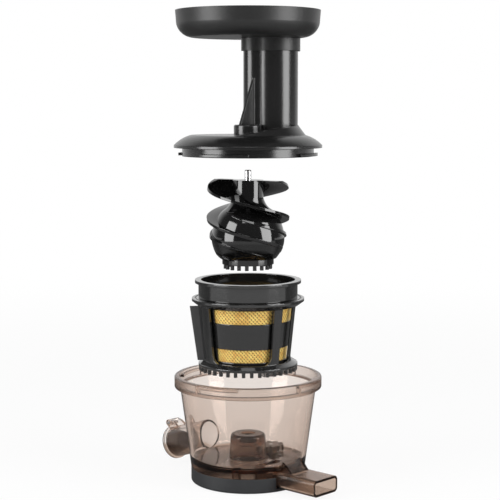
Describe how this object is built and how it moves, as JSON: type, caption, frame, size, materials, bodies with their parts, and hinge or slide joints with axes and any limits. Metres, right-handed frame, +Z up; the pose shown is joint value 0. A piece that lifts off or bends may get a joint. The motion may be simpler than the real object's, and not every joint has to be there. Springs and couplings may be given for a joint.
{
  "type": "cold press juicer head",
  "caption": "Upright cold press juicing head drawn apart: feeding tray and chute lid, auger, mesh strainer in a brush cage, and clear bowl with pulp and juice spouts.",
  "frame": {"origin": "on the bowl's axis, on the plane that the bowl's base ring stands on", "axes": "+Z up along the shared axis of bowl, strainer, auger and lid; +X along the pulp spout; -X along the juice spout"},
  "size_m": [0.2091, 0.1416, 0.4495],
  "materials": {
    "smoky_clear": "gloss",
    "black_gloss": "gloss",
    "tray_satin": "satin",
    "base_grey": "satin",
    "gold_mesh": "woven, satin",
    "silicone_black": "matte",
    "silicone_brown": "matte",
    "steel": "brushed",
    "white_plastic": "satin"
  },
  "bodies": {
    "bowl": {"juicing_bowl": "smoky_clear", "bowl_base_ring": "base_grey", "base_ring_screws": "steel", "shaft_seal": "silicone_brown", "pulp_outlet_packing": "silicone_brown", "idler_pin": "steel", "cap_hinge_pin": "steel"},
    "idler": {"idler_gear": "white_plastic"},
    "cap": {"juice_cap": "smoky_clear", "cap_plug": "silicone_brown"},
    "strainer": {"strainer_frame": "black_gloss", "strainer_mesh_lower": "gold_mesh", "strainer_mesh_upper": "gold_mesh"},
    "cage": {"brush_cage": "black_gloss", "wiper_blade_1": "silicone_black", "wiper_blade_2": "silicone_black"},
    "auger_carrier": {"auger_top_pin": "steel"},
    "auger": {"auger_screw": "black_gloss", "auger_drive_socket": "steel", "auger_packing": "silicone_black"},
    "hopper_carrier": {"lid_seal": "silicone_black"},
    "lid": {"hopper_lid": "black_gloss", "lid_bush": "white_plastic"},
    "tray": {"feeding_tray": "tray_satin"}
  },
  "joints": [
    {"name": "strainer_lift", "type": "slide", "parent": "bowl", "child": "strainer", "axis": [0, 0, 1], "range_m": [-0.0845, 0]},
    {"name": "brush_spin", "type": "hinge", "parent": "strainer", "child": "cage", "pos_m": [0, 0, 0.14], "axis": [0, 0, 1], "continuous": true},
    {"name": "auger_lift", "type": "slide", "parent": "strainer", "child": "auger_carrier", "axis": [0, 0, 1], "range_m": [-0.0975, 0]},
    {"name": "auger_spin", "type": "hinge", "parent": "auger_carrier", "child": "auger", "pos_m": [0, 0, 0.25], "axis": [0, 0, 1], "continuous": true},
    {"name": "hopper_lift", "type": "slide", "parent": "auger_carrier", "child": "hopper_carrier", "axis": [0, 0, 1], "range_m": [-0.036, 0]},
    {"name": "hopper_twist", "type": "hinge", "parent": "hopper_carrier", "child": "lid", "pos_m": [0, 0, 0.32], "axis": [0, 0, 1], "range_deg": [0, 39]},
    {"name": "tray_lift", "type": "slide", "parent": "lid", "child": "tray", "axis": [0, 0, 1], "range_m": [0, 0.014]},
    {"name": "cap_flip", "type": "hinge", "parent": "bowl", "child": "cap", "pos_m": [-0.10438, 0, 0.03988], "axis": [0, 1, 0], "range_deg": [0, 100]},
    {"name": "idler_spin", "type": "hinge", "parent": "bowl", "child": "idler", "pos_m": [0, 0.0336, 0.025], "axis": [0, 0, 1], "continuous": true}
  ],
  "couplings": [
    {"joint": "brush_spin", "follows": "auger_spin", "ratio": -0.47368},
    {"joint": "idler_spin", "follows": "auger_spin", "ratio": -1.8}
  ]
}
